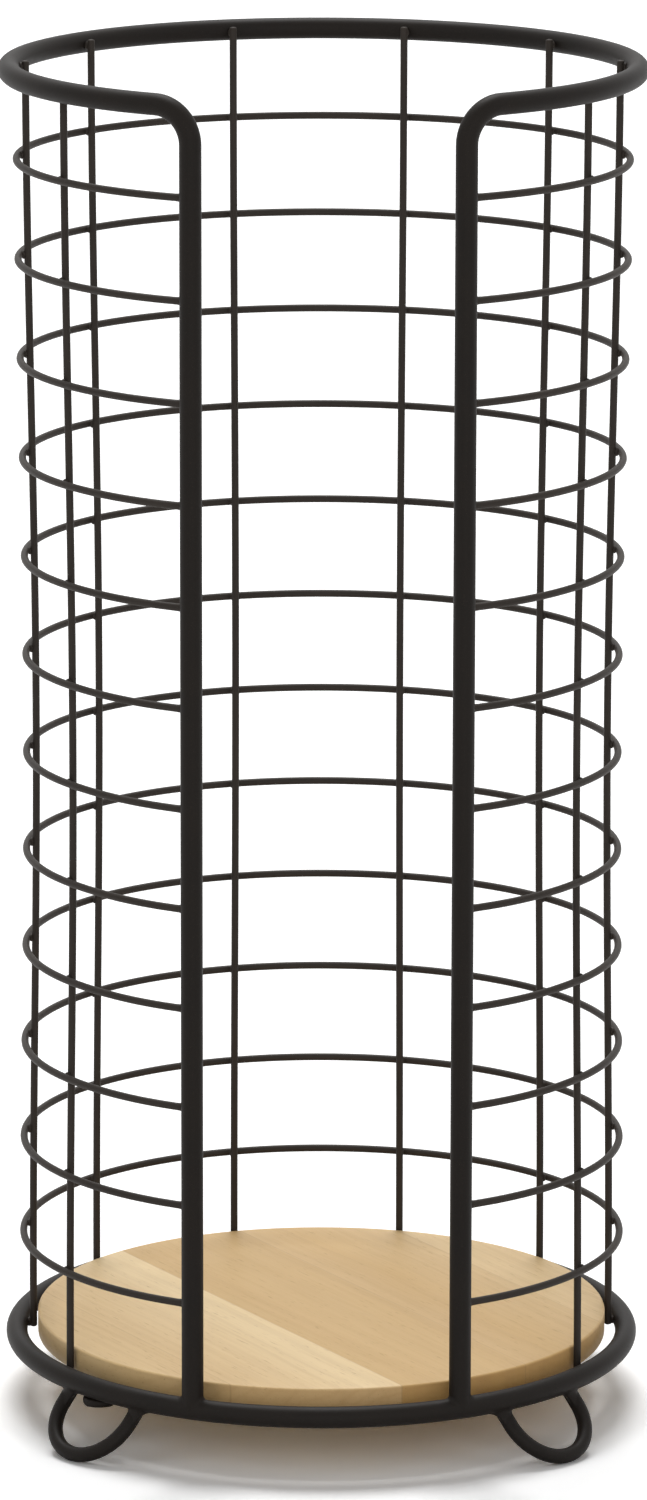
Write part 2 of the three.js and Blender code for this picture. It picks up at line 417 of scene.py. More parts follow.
@dataclass(frozen=True)
class GluedWood(Finish):
    """Light boards glued edge to edge, with straight grain, short pores and darker end grain on the rim.

    The boards run along the grain, which is turned from the Y axis towards -X. Their seams are measured
    across the grain from the disc's middle. An edge holds the noise at which a pattern starts, and how
    fast it grows above that. A draw makes a pattern long along the grain and a rise makes it tall: the
    smaller the number, the longer or taller.
    """

    name: str = "light_glued_wood"
    slot: Slot = Slot.WOOD
    grain_turn: float = 30.2 * DEGREE
    half_width: float = 72 * MM
    board_width: float = 34.6 * MM
    seam_offset: float = 18.3 * MM
    seam_line: float = 0.25 * MM
    stave_width: float = 6.9 * MM
    bend_size: float = 60 * MM
    bend_reach: float = 3 * MM
    fibre_size: float = 0.9 * MM
    fibre_draw: float = 0.03
    fibre_rise: float = 0.45
    fibre_edge: tuple[float, float] = (0.45, 1.3)
    band_size: float = 6 * MM
    pore_size: float = 0.32 * MM
    pore_draw: float = 0.07
    pore_edge: tuple[float, float] = (0.66, 9.0)
    heart_depth: float = 38 * MM
    heart_bend: float = 2.0
    heart_draw: float = 0.02
    ring_width: float = 2.6 * MM
    ring_play: float = 5 * MM
    ring_power: float = 3.0
    patch_size: float = 5 * MM
    patch_draw: float = 0.2
    patch_rise: float = 0.25
    patch_edge: tuple[float, float] = (0.42, 2.2)
    light: Colour = linear(239, 212, 163)
    tan: Colour = linear(204, 165, 102)
    streak: Colour = linear(176, 134, 84)
    pore: Colour = linear(150, 108, 66)
    end_grain: Colour = linear(200, 150, 82)
    stave_share: float = 0.12
    fibre_share: float = 0.34
    ring_share: float = 0.10
    end_ring_share: float = 0.06
    end_share: float = 0.6
    patch_share: float = 0.4
    pore_share: float = 0.38
    seam_share: float = 0.28
    roughness: float = 0.5
    fibre_roughness: float = 0.16
    end_roughness: float = 0.12
    pore_roughness: float = 0.1
    gloss: float = 0.4
    fibre_relief: float = 0.5
    seam_relief: float = 1.5
    relief_height: float = 0.05 * MM
    relief_strength: float = 0.35
    # Each board's own tone across the grain, with painted light on top: the left board is painted
    # lighter towards its seam by the middle, where more light falls.
    board_tones_and_painted_light: tuple[tuple[float, float], ...] = (
        (-72 * MM, 0.34),
        (-66 * MM, 0.54),
        (-53 * MM, 0.52),
        (-52.9 * MM, 0.50),
        (-41 * MM, 0.34),
        (-26 * MM, 0.04),
        (-18.4 * MM, 0.04),
        (-18.3 * MM, 0.84),
        (-4 * MM, 0.78),
        (16.2 * MM, 0.80),
        (16.3 * MM, 0.70),
        (28 * MM, 0.88),
        (50.8 * MM, 0.56),
        (50.9 * MM, 0.38),
        (72 * MM, 0.40),
    )

    def boards(self, graph: Graph, across: Value) -> Value:
        """Gives each board its own tone, with painted light within the boards.

        Args:
            graph: The material's tree.
            across: The place across the grain.

        Returns:
            How tan the board is, from 0 to 1.
        """
        width = 2 * self.half_width
        stops = [((edge + self.half_width) / width, (tone,) * 3) for edge, tone in self.board_tones_and_painted_light]
        return graph.ramp((across + self.half_width) / width, stops)

    def growth_rings(self, graph: Graph, from_heart: Value, bands: Value) -> Value:
        """Draws growth rings round the heart of the log, which lies under the disc.

        Args:
            graph: The material's tree.
            from_heart: The place from the heart.
            bands: The noise that pushes the rings about.

        Returns:
            1 on the dark line of each ring, and less towards the next.
        """
        length = graph.value("ShaderNodeVectorMath", {"operation": "LENGTH"}, {0: from_heart}, "Value")
        turns = (length + bands * self.ring_play) * (math.tau / self.ring_width)
        return ((graph.sum(Sum.SINE, turns) + 1) / 2) ** self.ring_power

    def ends(self, graph: Graph) -> Value:
        """Tells how much end grain a surface shows.

        Args:
            graph: The material's tree.

        Returns:
            1 where the surface faces along the grain, and 0 where it lies along it.
        """
        normal = graph.value("ShaderNodeNewGeometry", output="Normal")
        grain_way = (-math.sin(self.grain_turn), math.cos(self.grain_turn), 0.0)
        inputs = {0: normal, 1: grain_way}
        facing = graph.value("ShaderNodeVectorMath", {"operation": "DOT_PRODUCT"}, inputs, "Value")
        return facing * facing

    def surface(self, graph: Graph, place: Value) -> Value:
        """Builds the shader of the boards.

        Args:
            graph: The material's tree.
            place: The object's own coordinates, in metres.

        Returns:
            The shader.
        """
        turn = (0.0, 0.0, -self.grain_turn)
        turned = graph.value("ShaderNodeMapping", {}, {"Vector": place, "Rotation": turn})
        split = graph.node("ShaderNodeSeparateXYZ", {}, {0: turned})
        across, along, height = (Value(graph, socket) for socket in split.outputs)

        bend = (graph.noise(turned, self.bend_size, detail=1.0) - NOISE_MIDDLE) * self.bend_reach
        drawn = graph.vector(across + bend, along * self.fibre_draw, height * self.fibre_rise)
        fibres = graph.noise(drawn, self.fibre_size, detail=4.0, roughness=0.6)
        bands = graph.noise(drawn, self.band_size)
        drawn = graph.vector(across, along * self.pore_draw, height)
        pores = graph.noise(drawn, self.pore_size, detail=1.0).above(*self.pore_edge)
        drawn = graph.vector(across, along * self.patch_draw, height * self.patch_rise)
        patches = graph.noise(drawn, self.patch_size)

        heart_across = across + bend * self.heart_bend
        from_heart = graph.vector(heart_across, along * self.heart_draw, height + self.heart_depth)
        rings = self.growth_rings(graph, from_heart, bands)
        from_seam = graph.sum(Sum.BOUNCE, across + self.seam_offset, self.board_width / 2)
        seam = (1 - from_seam / self.seam_line).kept_within_one()
        stave = graph.sum(Sum.WHOLE, (across + bend) / self.stave_width)
        staves = graph.value("ShaderNodeTexWhiteNoise", {"noise_dimensions": "1D"}, {"W": stave})
        ends = self.ends(graph)

        # Board tones, with painted light that lightens the left board towards its seam.
        tone = graph.colours(self.boards(graph, across), self.light, self.tan)
        for share, colour in (
            (staves * self.stave_share, self.streak),
            (fibres.above(*self.fibre_edge) * self.fibre_share, self.streak),
            (rings * (self.ring_share + ends * self.end_ring_share), self.streak),
            (ends * self.end_share, self.end_grain),
            (ends * patches.above(*self.patch_edge) * self.patch_share, self.streak),
            (pores * self.pore_share, self.pore),
            (seam * self.seam_share, self.pore),
        ):
            tone = graph.colours(share, tone, colour)
        roughness = self.roughness + (fibres - NOISE_MIDDLE) * self.fibre_roughness
        relief = fibres * self.fibre_relief - pores - seam * self.seam_relief
        inputs = {
            "Base Color": tone,
            "Roughness": roughness + ends * self.end_roughness + pores * self.pore_roughness,
            "Specular IOR Level": self.gloss,
            "Normal": graph.bump(relief, self.relief_height, self.relief_strength),
        }
        return graph.value("ShaderNodeBsdfPrincipled", {}, inputs)


@dataclass(frozen=True)
class ZincPlate(Finish):
    """Zinc-plated steel with cloudy plating and fine turning marks."""

    name: str = "zinc_plated_steel"
    slot: Slot = Slot.STEEL
    bright: Colour = linear(196, 198, 200)
    dull: Colour = linear(150, 152, 152)
    roughness: float = 0.34
    roughness_play: float = 0.2
    cloud_size: float = 1.4 * MM
    mark_size: float = 0.12 * MM
    mark_height: float = 0.02 * MM
    mark_strength: float = 0.3

    def surface(self, graph: Graph, place: Value) -> Value:
        """Builds the shader of the plating.

        Args:
            graph: The material's tree.
            place: The object's own coordinates, in metres.

        Returns:
            The shader.
        """
        cloud = graph.noise(place, self.cloud_size, detail=3.0)
        marks = graph.noise(place, self.mark_size, detail=1.0)
        inputs = {
            "Base Color": graph.colours(cloud, self.bright, self.dull),
            "Roughness": self.roughness + (cloud - NOISE_MIDDLE) * self.roughness_play,
            "Metallic": 1.0,
            "Normal": graph.bump(marks, self.mark_height, self.mark_strength),
        }
        return graph.value("ShaderNodeBsdfPrincipled", {}, inputs)


@dataclass(frozen=True)
class StudioWhite(Finish):
    """A matte floor: pale as it lights the object, and white with its shadow where it is looked at."""

    name: str = "studio_white"
    colour: Colour = (0.70, 0.70, 0.70)
    seen_colour: Colour = (1.28, 1.28, 1.28)

    def surface(self, graph: Graph, place: Value) -> Value:
        """Builds the shader of the floor."""
        tone = graph.colours(graph.seen(), self.colour, self.seen_colour)
        return graph.value("ShaderNodeBsdfDiffuse", {}, {"Color": tone})


def linked_object(name: str, data: bpy.types.ID) -> bpy.types.Object:
    """Puts a new object in the scene.

    Args:
        name: The object's name.
        data: Its mesh, lamp or camera.

    Returns:
        The object, at the origin.
    """
    made = bpy.data.objects.new(name, data)
    bpy.context.scene.collection.objects.link(made)
    return made


def apply_modifiers(piece: bpy.types.Object) -> None:
    """Turns a piece and its modifiers into a plain mesh.

    Args:
        piece: The piece, which loses its modifiers.
    """
    graph = bpy.context.evaluated_depsgraph_get()
    mesh = bpy.data.meshes.new_from_object(piece.evaluated_get(graph), depsgraph=graph)
    piece.modifiers.clear()
    piece.data = mesh
    mesh.name = piece.name


def adopt(piece: bpy.types.Object, nodes: Sequence[str]) -> None:
    """Hands a finished piece to the frame.

    Args:
        piece: The piece, a plain mesh at the origin.
        nodes: The solids that it stands for. Welds stand for none.
    """
    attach(piece, BODY)
    if nodes:
        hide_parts(*nodes)
    role = ", ".join(nodes) or "welds"
    log.info("%s: %d faces, for %s", piece.name, len(piece.data.polygons), role)


class PieceTree:
    """A Geometry Nodes tree that turns a path or a set of points into a finished mesh."""

    name: str = "piece"
    inputs: tuple[tuple[str, InputKind], ...] = ()

    def __init__(self) -> None:
        """Builds the tree, which ends in Realize Instances and Set Material."""
        self.tree = bpy.data.node_groups.new(self.name, "GeometryNodeTree")
        face = self.tree.interface
        face.new_socket(name="Geometry", in_out="INPUT", socket_type="NodeSocketGeometry")
        for name, kind in (*self.inputs, ("Finish", InputKind.FINISH)):
            face.new_socket(name=name, in_out="INPUT", socket_type=kind.value)
        face.new_socket(name="Geometry", in_out="OUTPUT", socket_type="NodeSocketGeometry")
        graph = Graph(self.tree)
        group = graph.node("NodeGroupInput")
        given = {socket.name: Value(graph, socket) for socket in group.outputs if socket.name}
        shape = self.shape(graph, given)
        real = graph.value("GeometryNodeRealizeInstances", {}, {"Geometry": shape})
        inputs = {"Geometry": real, "Material": given["Finish"]}
        dressed = graph.value("GeometryNodeSetMaterial", {}, inputs)
        graph.node("NodeGroupOutput", {}, {"Geometry": dressed})

    def shape(self, graph: Graph, given: Mapping[str, Value]) -> Value:
        """Builds the tree's own part from its inputs by name, and gives the geometry."""
        raise NotImplementedError

    def smoothed(self, graph: Graph, mesh: Value) -> Value:
        """Shades a mesh smooth, apart from its sharp edges.

        Args:
            graph: The tree.
            mesh: The mesh.

        Returns:
            The shaded mesh.
        """
        inputs = {"Geometry": mesh, "Shade Smooth": True}
        smooth = graph.value("GeometryNodeSetShadeSmooth", {"domain": "FACE"}, inputs)
        angle = graph.value("GeometryNodeInputMeshEdgeAngle")
        settings = {"data_type": "FLOAT", "operation": "GREATER_THAN"}
        sharp = graph.value("FunctionNodeCompare", settings, {0: angle, 1: CREASE})
        inputs = {"Geometry": smooth, "Selection": sharp, "Shade Smooth": False}
        return graph.value("GeometryNodeSetShadeSmooth", {"domain": "EDGE"}, inputs)

    def add(
        self,
        name: str,
        source: bpy.types.Mesh,
        sizes: Mapping[str, object],
        finish: Finish,
        nodes: Sequence[str] = (),
    ) -> None:
        """Runs the tree, keeps the result as a plain mesh and hands it to the frame.

        Args:
            name: The piece's name.
            source: The path or points.
            sizes: The tree's inputs by name.
            finish: The piece's finish.
            nodes: The solids that the piece stands for.
        """
        piece = linked_object(name, source)
        modifier = piece.modifiers.new(self.name, "NODES")
        modifier.node_group = self.tree
        wanted = {**sizes, "Finish": finish.material()}
        for item in self.tree.interface.items_tree:
            if item.in_out == "INPUT" and item.name in wanted:
                modifier[item.identifier] = wanted[item.name]
        apply_modifiers(piece)
        adopt(piece, nodes)


class WireTree(PieceTree):
    """Sweeps round wire along a path. Its ends can widen into a weld, or close to a rounded edge."""

    name = "wire_sweep"
    inputs = (
        ("Diameter", InputKind.NUMBER),
        ("End Growth", InputKind.NUMBER),
        ("End Length", InputKind.NUMBER),
        ("Sides", InputKind.COUNT),
    )

    def shape(self, graph: Graph, given: Mapping[str, Value]) -> Value:
        """Builds the sweep.

        Args:
            graph: The tree.
            given: The tree's inputs by name.

        Returns:
            The wire.
        """
        curve = graph.value("GeometryNodeMeshToCurve", {}, {"Mesh": given["Geometry"]})
        along = graph.value("GeometryNodeSplineParameter", output="Length")
        whole = graph.value("GeometryNodeSplineLength", output="Length")
        from_end = graph.sum(Sum.SMALLER, along, whole - along)
        near = graph.sum(Sum.LARGER, 1 - from_end / given["End Length"], 0.0)
        profile = graph.value(
            "GeometryNodeCurvePrimitiveCircle",
            {"mode": "RADIUS"},
            {"Resolution": given["Sides"], "Radius": given["Diameter"] / 2},
        )
        inputs = {
            "Curve": curve,
            "Profile Curve": profile,
            "Scale": 1 + given["End Growth"] * near * near,
            "Fill Caps": True,
        }
        return self.smoothed(graph, graph.value("GeometryNodeCurveToMesh", {}, inputs))


class BeadTree(PieceTree):
    """Sets a small weld bead on each point, turned by its azimuth and a little uneven in size."""

    name = "weld_beads"
    inputs = (
        ("Depth", InputKind.NUMBER),
        ("Width", InputKind.NUMBER),
        ("Height", InputKind.NUMBER),
        ("Unevenness", InputKind.NUMBER),
        ("Seed", InputKind.COUNT),
    )

    def shape(self, graph: Graph, given: Mapping[str, Value]) -> Value:
        """Builds the beads from a ball one unit across.

        Args:
            graph: The tree.
            given: The tree's inputs by name.

        Returns:
            The beads.
        """
        bead = graph.value("GeometryNodeMeshIcoSphere", {}, {"Radius": 0.5, "Subdivisions": 3})
        named = {"data_type": "FLOAT"}
        turn = graph.value("GeometryNodeInputNamedAttribute", named, {"Name": "azimuth"})
        scale = 1 + graph.chance(-1.0, 1.0, given["Seed"]) * given["Unevenness"]
        sizes = [given[name] * scale for name in ("Width", "Depth", "Height")]
        inputs = {
            "Points": given["Geometry"],
            "Instance": bead,
            "Rotation": graph.spin(turn),
            "Scale": graph.vector(*sizes),
        }
        beads = graph.value("GeometryNodeInstanceOnPoints", {}, inputs)
        return self.smoothed(graph, graph.value("GeometryNodeRealizeInstances", {}, {"Geometry": beads}))


class FastenerTree(PieceTree):
    """Puts a copy of a fastener on each point, each turned by its own chance amount."""

    name = "fasteners"
    inputs = (("Fastener", InputKind.PART), ("Seed", InputKind.COUNT))

    def shape(self, graph: Graph, given: Mapping[str, Value]) -> Value:
        """Builds the copies.

        Args:
            graph: The tree.
            given: The tree's inputs by name.

        Returns:
            The copies.
        """
        part = graph.value("GeometryNodeObjectInfo", {}, {"Object": given["Fastener"]}, "Geometry")
        turn = graph.spin(graph.chance(0.0, math.tau, given["Seed"]))
        inputs = {"Points": given["Geometry"], "Instance": part, "Rotation": turn}
        return graph.value("GeometryNodeInstanceOnPoints", {}, inputs)


def path_mesh(points: Sequence[Vector], closed: bool = False) -> bpy.types.Mesh:
    """Makes a line of edges.

    Args:
        points: The path's points.
        closed: Whether the last point joins the first.

    Returns:
        The mesh.
    """
    edges = [(i, i + 1) for i in range(len(points) - 1)]
    if closed:
        edges.append((len(points) - 1, 0))
    mesh = bpy.data.meshes.new("path")
    mesh.from_pydata([tuple(point) for point in points], edges, [])
    return mesh


def on_cage(azimuth: float, radius: float, height: float) -> Vector:
    """Gives the point at an azimuth, a distance from the cage's axis and a height."""
    return Vector((radius * math.sin(azimuth), -radius * math.cos(azimuth), height))


def ways_at(azimuth: float) -> tuple[Vector, Vector]:
    """Gives the level directions away from the cage's axis and round it, at an azimuth."""
    return on_cage(azimuth, 1.0, 0.0), on_cage(azimuth + math.pi / 2, 1.0, 0.0)


def point_mesh(spots: Sequence[Spot]) -> bpy.types.Mesh:
    """Makes loose points that know their azimuth.

    Args:
        spots: The azimuth, the distance from the cage's axis and the height of each.

    Returns:
        The mesh.
    """
    mesh = bpy.data.meshes.new("points")
    mesh.from_pydata([tuple(on_cage(*spot)) for spot in spots], [], [])
    azimuths = [spot[0] for spot in spots]
    mesh.attributes.new("azimuth", "FLOAT", "POINT").data.foreach_set("value", azimuths)
    return mesh


def near_end(end: Vector, inner: Vector, reach: float, count: int) -> list[Vector]:
    """Gives points from a path's end towards its next point, closest together at the end."""
    way = (inner - end).normalized()
    return [end + way * (reach * (i / count) ** END_BUNCHING) for i in range(1, count + 1)]


def with_close_ends(points: Sequence[Vector], reach: float, count: int) -> list[Vector]:
    """Adds points near both ends of a path, so that a swept end can change width.

    Args:
        points: The path.
        reach: How far from each end the added points go.
        count: How many are added at each end.

    Returns:
        The longer path.
    """
    first, last = points[0], points[-1]
    start = near_end(first, points[1], reach, count)
    finish = near_end(last, points[-2], reach, count)
    clear = reach * END_CLEARANCE
    inner = [p for p in points if min((p - first).length, (p - last).length) > clear]
    return [first, *start, *inner, *reversed(finish), last]


def mesh_object(
    name: str,
    fill: Callable[[bmesh.types.BMesh], None],
    finish: Finish,
) -> bpy.types.Object:
    """Makes an object from mesh code.

    Args:
        name: The object's name.
        fill: What adds the faces.
        finish: The object's finish.

    Returns:
        The object.
    """
    mesh = bpy.data.meshes.new(name)
    work = bmesh.new()
    fill(work)
    bmesh.ops.remove_doubles(work, verts=work.verts, dist=MERGE_DISTANCE)
    bmesh.ops.recalc_face_normals(work, faces=work.faces)
    work.to_mesh(mesh)
    work.free()
    mesh.materials.append(finish.material())
    return linked_object(name, mesh)


def shade_smooth(piece: bpy.types.Object, crease: float = CREASE) -> None:
    """Shades a piece smooth, apart from edges sharper than the crease angle."""
    piece.data.shade_smooth()
    piece.data.set_sharp_from_angle(angle=crease)


def add_mesh_piece(
    name: str,
    fill: Callable[[bmesh.types.BMesh], None],
    finish: Finish,
    nodes: Sequence[str] = (),
    crease: float = CREASE,
) -> None:
    """Makes a smooth piece from mesh code and hands it to the frame.

    Args:
        name: The piece's name.
        fill: What adds the faces.
        finish: The piece's finish.
        nodes: The solids that the piece stands for.
        crease: The angle above which an edge stays sharp.
    """
    piece = mesh_object(name, fill, finish)
    shade_smooth(piece, crease)
    adopt(piece, nodes)


def lathe(work: bmesh.types.BMesh, profile: Sequence[tuple[float, float]], steps: int) -> None:
    """Turns a profile round the Z axis.

    Args:
        work: The mesh that gets the faces.
        profile: Distances from the axis and heights. The first and last points lie on the axis.
        steps: How many steps make the turn.
    """
    low = work.verts.new((0.0, 0.0, profile[0][1]))
    high = work.verts.new((0.0, 0.0, profile[-1][1]))
    rings = []
    ways = [(math.cos(i / steps * math.tau), math.sin(i / steps * math.tau)) for i in range(steps)]
    for radius, height in profile[1:-1]:
        rings.append([work.verts.new((radius * x, radius * y, height)) for x, y in ways])
    for i in range(steps):
        j = (i + 1) % steps
        work.faces.new((low, rings[0][j], rings[0][i]))
        work.faces.new((high, rings[-1][i], rings[-1][j]))
        for lower, upper in zip(rings, rings[1:]):
            work.faces.new((lower[i], lower[j], upper[j], upper[i]))


def loft(work: bmesh.types.BMesh, outlines: Sequence[Sequence[Vector]]) -> None:
    """Joins equal closed outlines into one body with two flat ends.

    Args:
        work: The mesh that gets the faces.
        outlines: The corners of each outline, in order along the body.
    """
    rings = [[work.verts.new(corner) for corner in outline] for outline in outlines]
    for first, second in zip(rings, rings[1:]):
        for i in range(len(first)):
            j = (i + 1) % len(first)
            work.faces.new((first[i], first[j], second[j], second[i]))
    work.faces.new(rings[0])
    work.faces.new(list(reversed(rings[-1])))


def hollow(ball: Vector, first: Vector, second: Vector, steps: int = 6) -> list[Vector]:
    """Gives the arc round a ball between the points where it touches two wires.

    Args:
        ball: The ball's middle.
        first: The point on one wire.
        second: The point on the other wire.
        steps: How many steps make the arc.

    Returns:
        The arc's points.
    """
    start = first - ball
    finish = second - ball
    ways = [start.lerp(finish, i / steps).normalized() for i in range(steps + 1)]
    return [ball + way * start.length for way in ways]


@dataclass(frozen=True)
class CageSizes:
    """The cage's main sizes, in metres and radians."""

    ring_radius: float
    frame_wire: float
    base_height: float
    top_height: float
    post_azimuth: float
    thin_wire: float
    waist: float = 1.6 * MM
    fit: float = 0.3 * MM
    rod_count: int = 8

    @classmethod
    def from_frame(cls) -> "CageSizes":
        """Reads the sizes from the boxes of the solids.

        Returns:
            The sizes.
        """
        ring_low, ring_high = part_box("base_ring")
        main_low, main_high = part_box("main_frame_wire")
        hoop_low, hoop_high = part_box("hoop_wire_01")
        wire = ring_high.z - ring_low.z
        ring_radius = (ring_high.x - ring_low.x - wire) / 2
        return cls(
            ring_radius=ring_radius,
            frame_wire=wire,
            base_height=(ring_low.z + ring_high.z) / 2,
            top_height=main_high.z - wire / 2,
            post_azimuth=math.acos((-main_low.y - wire / 2) / ring_radius),
            thin_wire=hoop_high.z - hoop_low.z,
        )

    @property
    def rod_radius(self) -> float:
        """The distance from the axis to a rod's middle, at the rings."""
        return self.ring_radius - self.frame_wire / 2 - self.fit - self.thin_wire / 2

    @property
    def hoop_radius(self) -> float:
        """The distance from the axis to a hoop's middle, where it isn't drawn in."""
        return self.rod_radius + self.thin_wire + self.fit

    @property
    def bay(self) -> float:
        """The angle between neighbouring rods."""
        return (math.tau - 2 * self.post_azimuth) / (self.rod_count + 1)

    @property
    def rod_azimuths(self) -> list[float]:
        """The azimuth of each rod."""
        return [self.post_azimuth + (i + 1) * self.bay for i in range(self.rod_count)]

    @property
    def post_azimuths(self) -> tuple[float, float]:
        """The azimuths of the left and right posts."""
        return -self.post_azimuth, self.post_azimuth

    def drawn_in(self, height: float) -> float:
        """How far the thin wires are drawn in at a height."""
        share = (height - self.base_height) / (self.top_height - self.base_height)
        return self.waist * math.sin(math.pi * share) ** 2

    def rod_radius_at(self, height: float) -> float:
        """The distance from the axis to a rod's middle at a height."""
        return self.rod_radius - self.drawn_in(height)

    def hoop_radius_at(self, azimuth: float, height: float) -> float:
        """Gives the distance from the axis to a hoop's middle, drawn in little by little from its posts.

        Args:
            azimuth: The azimuth on the hoop.
            height: The hoop's height.

        Returns:
            The distance, in full from the first rod to the last.
        """
        from_post = min(azimuth - self.post_azimuth, math.tau - self.post_azimuth - azimuth) / self.bay
        ease = math.sin(min(from_post, 1.0) * math.pi / 2) ** 2
        return self.hoop_radius - self.drawn_in(height) * ease

    def crossing_radius(self, azimuth: float, height: float) -> float:
        """The distance from the axis to the middle between a rod and a hoop."""
        return (self.hoop_radius_at(azimuth, height) + self.rod_radius_at(height)) / 2

    @staticmethod
    def middle_height(node: str) -> float:
        """The height of the middle of a solid's box."""
        low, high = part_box(node)
        return (low.z + high.z) / 2


@dataclass
class ThickFrame:
    """The bent main wire and the closed base ring, with the welds between them."""

    sizes: CageSizes
    wires: WireTree
    finish: PowderCoat
    bend_radius: float = 9 * MM
    bend_steps: int = 14
    ring_steps: int = 180
    sides: int = 36
    weld_round: float = 1.2 * MM
    weld_start: float = 8 * DEGREE
    weld_steps: int = 48
    weld_core: float = 0.75

    def main_path(self) -> list[Vector]:
        """Follows the main wire from inside the base ring at one post to the other post.

        Returns:
            The points of its middle line.
        """
        s = self.sizes
        reach = self.bend_radius / s.ring_radius
        half = [on_cage(s.post_azimuth, s.ring_radius, s.base_height)]
        for i in range(self.bend_steps + 1):
            turn = i / self.bend_steps * math.pi / 2
            azimuth = s.post_azimuth + reach * (1 - math.cos(turn))
            height = s.top_height - self.bend_radius * (1 - math.sin(turn))
            half.append(on_cage(azimuth, s.ring_radius, height))
        start = s.post_azimuth + reach
        steps = self.ring_steps // 2
        for i in range(1, steps + 1):
            half.append(on_cage(start + i / steps * (math.pi - start), s.ring_radius, s.top_height))
        other = [Vector((-point.x, point.y, point.z)) for point in reversed(half[:-1])]
        return half + other

    def by_post(self, azimuth: float, offset: Vector) -> Vector:
        """Gives the place at an offset from a post's foot: round the cage, away from its axis and up."""
        radius = self.sizes.ring_radius
        return on_cage(azimuth + offset.x / radius, radius + offset.y, self.sizes.base_height + offset.z)

    def weld(self, work: bmesh.types.BMesh, azimuth: float) -> None:
        """Fills the corners at both sides of a post with a hollow round that touches both wires.

        Args:
            work: The mesh that gets the faces.
            azimuth: The post's azimuth.
        """
        wire = self.sizes.frame_wire / 2
        reach = wire + self.weld_round
        inward = wire / reach
        for side in (-1, 1):
            outlines = []
            for i in range(self.weld_steps + 1):
                turn = self.weld_start + i / self.weld_steps * (math.pi - 2 * self.weld_start)
                far = reach * math.sin(turn)
                ball = Vector((side * far, reach * math.cos(turn), far))
                on_post = Vector((ball.x * inward, ball.y * inward, ball.z))
                on_ring = Vector((ball.x, ball.y * inward, ball.z * inward))
                line = [*hollow(ball, on_post, on_ring), ball * (inward * self.weld_core)]
                outlines.append([self.by_post(azimuth, offset) for offset in line])
            loft(work, outlines)

    def build(self) -> None:
        """Makes the wires and their welds."""
        s = self.sizes
        plain = {"Diameter": s.frame_wire, "End Length": s.frame_wire, "Sides": self.sides}
        path = path_mesh(self.main_path())
        self.wires.add("bent_main_wire", path, plain, self.finish, ["main_frame_wire"])
        steps = self.ring_steps
        circle = [on_cage(i / steps * math.tau, s.ring_radius, s.base_height) for i in range(steps)]
        path = path_mesh(circle, closed=True)
        self.wires.add("closed_base_ring", path, plain, self.finish, ["base_ring"])
        for side, azimuth in zip(("left", "right"), s.post_azimuths):
            add_mesh_piece(f"post_weld_{side}", partial(self.weld, azimuth=azimuth), self.finish)


@dataclass(frozen=True)
class Bead:
    """A kind of weld bead: its size towards the cage's axis, round the cage and up, and its seed."""

    depth: float
    width: float
    height: float
    seed: int
    unevenness: float = 0.12

    @property
    def inputs(self) -> dict[str, float | int]:
        """The bead tree's inputs by name."""
        sizes = {"Depth": self.depth, "Width": self.width, "Height": self.height}
        return {**sizes, "Unevenness": self.unevenness, "Seed": self.seed}


